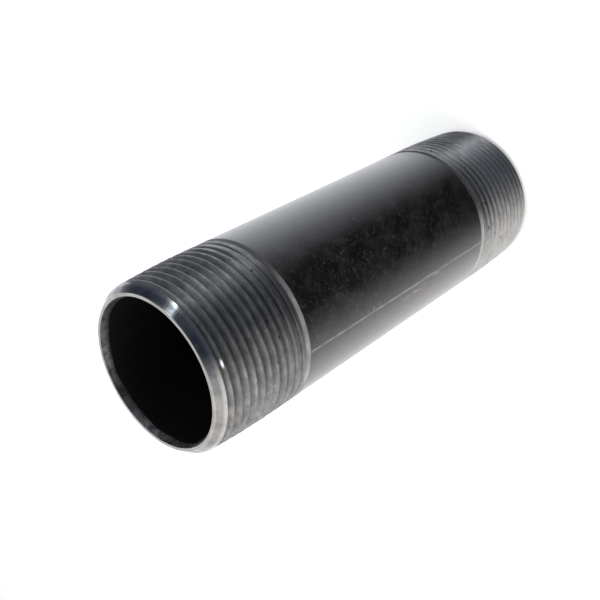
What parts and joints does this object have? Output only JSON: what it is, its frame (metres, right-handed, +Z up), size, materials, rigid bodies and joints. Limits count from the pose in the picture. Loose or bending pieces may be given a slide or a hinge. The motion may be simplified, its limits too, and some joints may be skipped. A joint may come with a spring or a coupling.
{
  "type": "pipe nipple",
  "caption": "Straight steel tube with a taper pipe thread on the outside of each end, a plain black barrel between them and an open bore.",
  "frame": {"origin": "centre of the lower end face, on the surface that the nipple stands on", "axes": "+Z up along the tube's axis, from the lower end to the upper end; X and Y across the tube"},
  "size_m": [0.0422, 0.0422, 0.127],
  "materials": {
    "pipe_nipple": "satin black lacquer on the barrel and in the bore, bare cut steel on the threads, bevels and lips"
  },
  "bodies": {
    "root": {"pipe_nipple": "pipe_nipple"}
  },
  "joints": []
}
